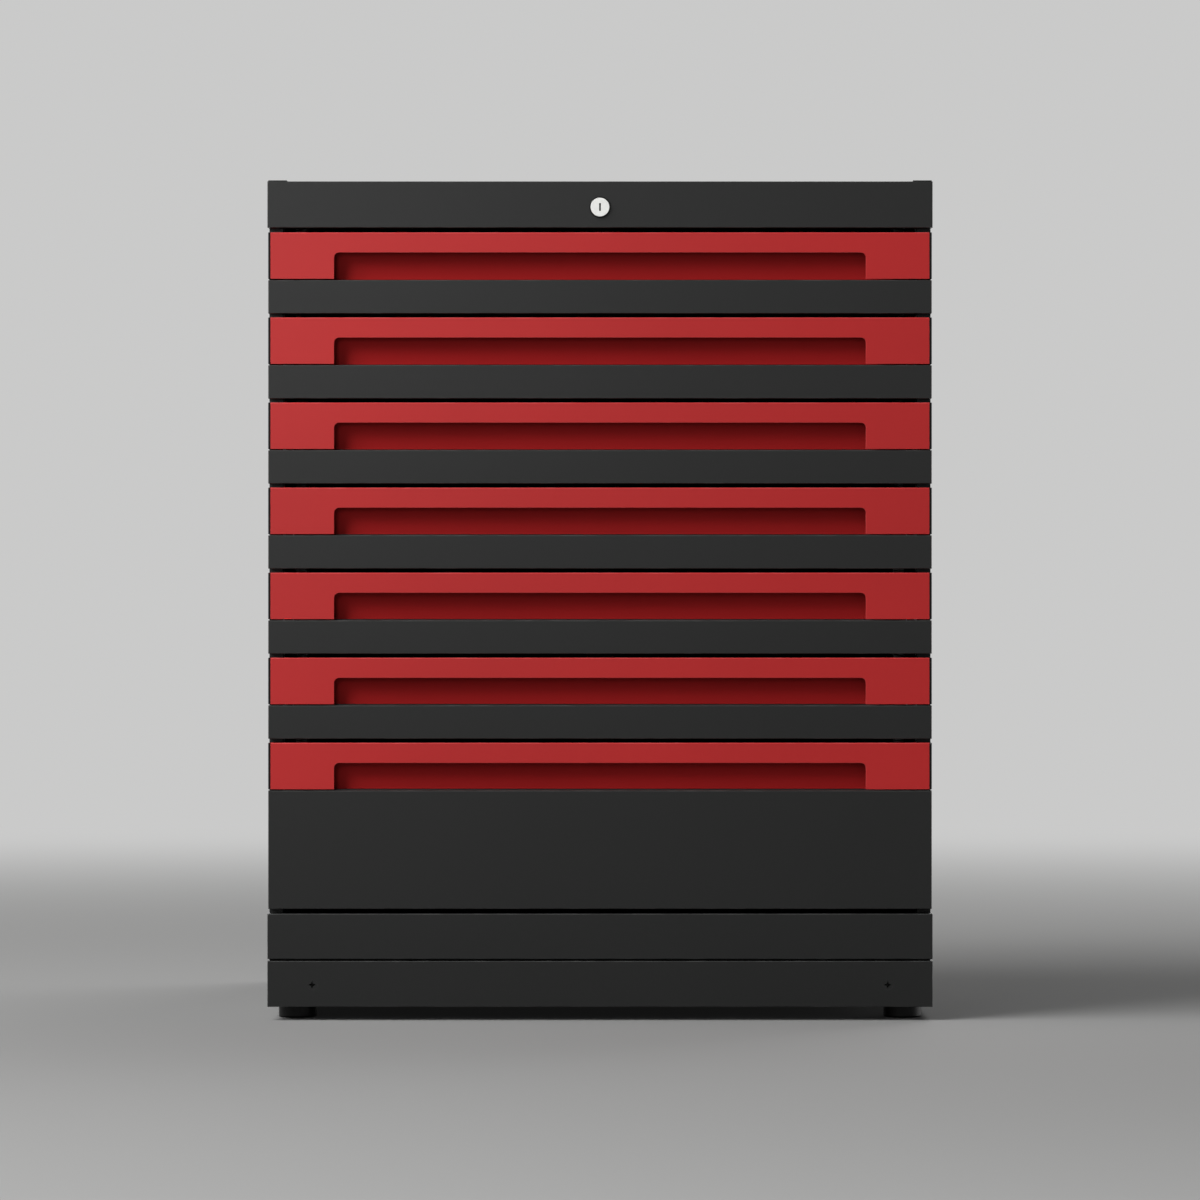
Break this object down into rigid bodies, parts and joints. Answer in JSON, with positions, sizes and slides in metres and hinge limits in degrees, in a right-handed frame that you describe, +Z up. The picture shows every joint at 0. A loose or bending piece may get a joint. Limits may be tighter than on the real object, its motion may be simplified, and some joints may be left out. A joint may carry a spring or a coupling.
{
  "type": "tool cabinet",
  "caption": "Free-standing sheet-steel tool cabinet with full-width sliding drawers, recessed grip channels, telescopic runners, a key lock with a rear lock bar, and a plinth on round feet.",
  "frame": {"origin": "on the floor, under the middle of the cabinet's box", "axes": "+Z up, -Y out of the front (the drawers open along -Y), +X to the right of someone facing the front"},
  "size_m": [0.782, 0.6526, 0.9876],
  "materials": {
    "dark_coat": "satin anthracite powder coat",
    "red_coat": "satin red powder coat",
    "box_coat": "satin grey powder coat",
    "black_caps": "fine moulded grain",
    "black_feet": "semi-gloss moulded plastic",
    "black_collar": "black zinc alloy",
    "dark_screws": "satin, as the plinth cover",
    "nickel": "satin nickel plate",
    "zinc_steel": "bright zinc plate"
  },
  "bodies": {
    "cabinet": {"side_panel_left": "dark_coat", "side_panel_right": "dark_coat", "back_panel": "dark_coat", "top_cover": "dark_coat", "floor_tray": "dark_coat", "uprights": "zinc_steel", "plinth_frame": "dark_coat", "plinth_cover": "dark_coat", "plinth_screws": "dark_screws", "feet": "black_feet", "foot_bolts": "zinc_steel", "cabinet_runners": "zinc_steel", "lock_housing": "black_collar", "lock_nut": "zinc_steel", "lock_brackets": "zinc_steel"},
    "key_plug": {"lock_plug": "nickel", "lock_rod": "zinc_steel"},
    "lock_bar": {"lock_bar": "zinc_steel"},
    "drawer_1": {"drawer_1_front": "dark_coat", "drawer_1_grip": "red_coat", "drawer_1_end_caps": "black_caps", "drawer_1_box": "box_coat", "drawer_1_runners": "zinc_steel"},
    "drawer_1_middle": {"drawer_1_middle_runners": "zinc_steel"},
    "drawer_2": {"drawer_2_front": "dark_coat", "drawer_2_grip": "red_coat", "drawer_2_end_caps": "black_caps", "drawer_2_box": "box_coat", "drawer_2_runners": "zinc_steel"},
    "drawer_2_middle": {"drawer_2_middle_runners": "zinc_steel"},
    "drawer_3": {"drawer_3_front": "dark_coat", "drawer_3_grip": "red_coat", "drawer_3_end_caps": "black_caps", "drawer_3_box": "box_coat", "drawer_3_runners": "zinc_steel"},
    "drawer_3_middle": {"drawer_3_middle_runners": "zinc_steel"},
    "drawer_4": {"drawer_4_front": "dark_coat", "drawer_4_grip": "red_coat", "drawer_4_end_caps": "black_caps", "drawer_4_box": "box_coat", "drawer_4_runners": "zinc_steel"},
    "drawer_4_middle": {"drawer_4_middle_runners": "zinc_steel"},
    "drawer_5": {"drawer_5_front": "dark_coat", "drawer_5_grip": "red_coat", "drawer_5_end_caps": "black_caps", "drawer_5_box": "box_coat", "drawer_5_runners": "zinc_steel"},
    "drawer_5_middle": {"drawer_5_middle_runners": "zinc_steel"},
    "drawer_6": {"drawer_6_front": "dark_coat", "drawer_6_grip": "red_coat", "drawer_6_end_caps": "black_caps", "drawer_6_box": "box_coat", "drawer_6_runners": "zinc_steel"},
    "drawer_6_middle": {"drawer_6_middle_runners": "zinc_steel"},
    "drawer_7": {"drawer_7_front": "dark_coat", "drawer_7_grip": "red_coat", "drawer_7_end_caps": "black_caps", "drawer_7_box": "box_coat", "drawer_7_runners": "zinc_steel"},
    "drawer_7_middle": {"drawer_7_middle_runners": "zinc_steel"}
  },
  "joints": [
    {"name": "drawer_1_slide", "type": "slide", "parent": "cabinet", "child": "drawer_1", "axis": [0, -1, 0], "range_m": [0, 0.54]},
    {"name": "drawer_1_middle_slide", "type": "slide", "parent": "cabinet", "child": "drawer_1_middle", "axis": [0, -1, 0], "range_m": [0, 0.27]},
    {"name": "drawer_2_slide", "type": "slide", "parent": "cabinet", "child": "drawer_2", "axis": [0, -1, 0], "range_m": [0, 0.54]},
    {"name": "drawer_2_middle_slide", "type": "slide", "parent": "cabinet", "child": "drawer_2_middle", "axis": [0, -1, 0], "range_m": [0, 0.27]},
    {"name": "drawer_3_slide", "type": "slide", "parent": "cabinet", "child": "drawer_3", "axis": [0, -1, 0], "range_m": [0, 0.54]},
    {"name": "drawer_3_middle_slide", "type": "slide", "parent": "cabinet", "child": "drawer_3_middle", "axis": [0, -1, 0], "range_m": [0, 0.27]},
    {"name": "drawer_4_slide", "type": "slide", "parent": "cabinet", "child": "drawer_4", "axis": [0, -1, 0], "range_m": [0, 0.54]},
    {"name": "drawer_4_middle_slide", "type": "slide", "parent": "cabinet", "child": "drawer_4_middle", "axis": [0, -1, 0], "range_m": [0, 0.27]},
    {"name": "drawer_5_slide", "type": "slide", "parent": "cabinet", "child": "drawer_5", "axis": [0, -1, 0], "range_m": [0, 0.54]},
    {"name": "drawer_5_middle_slide", "type": "slide", "parent": "cabinet", "child": "drawer_5_middle", "axis": [0, -1, 0], "range_m": [0, 0.27]},
    {"name": "drawer_6_slide", "type": "slide", "parent": "cabinet", "child": "drawer_6", "axis": [0, -1, 0], "range_m": [0, 0.54]},
    {"name": "drawer_6_middle_slide", "type": "slide", "parent": "cabinet", "child": "drawer_6_middle", "axis": [0, -1, 0], "range_m": [0, 0.27]},
    {"name": "drawer_7_slide", "type": "slide", "parent": "cabinet", "child": "drawer_7", "axis": [0, -1, 0], "range_m": [0, 0.54]},
    {"name": "drawer_7_middle_slide", "type": "slide", "parent": "cabinet", "child": "drawer_7_middle", "axis": [0, -1, 0], "range_m": [0, 0.27]},
    {"name": "lock_turn", "type": "hinge", "parent": "cabinet", "child": "key_plug", "pos_m": [0, -0.3237, 0.956], "axis": [0, 1, 0], "range_deg": [0, 90]},
    {"name": "lock_bar_lift", "type": "slide", "parent": "cabinet", "child": "lock_bar", "axis": [0, 0, 1], "range_m": [0, 0.0099]}
  ],
  "couplings": [
    {"joint": "drawer_1_middle_slide", "follows": "drawer_1_slide", "ratio": 0.5},
    {"joint": "drawer_2_middle_slide", "follows": "drawer_2_slide", "ratio": 0.5},
    {"joint": "drawer_3_middle_slide", "follows": "drawer_3_slide", "ratio": 0.5},
    {"joint": "drawer_4_middle_slide", "follows": "drawer_4_slide", "ratio": 0.5},
    {"joint": "drawer_5_middle_slide", "follows": "drawer_5_slide", "ratio": 0.5},
    {"joint": "drawer_6_middle_slide", "follows": "drawer_6_slide", "ratio": 0.5},
    {"joint": "drawer_7_middle_slide", "follows": "drawer_7_slide", "ratio": 0.5},
    {"joint": "lock_turn", "follows": "lock_bar_lift", "rad_per_m": 158.66}
  ]
}
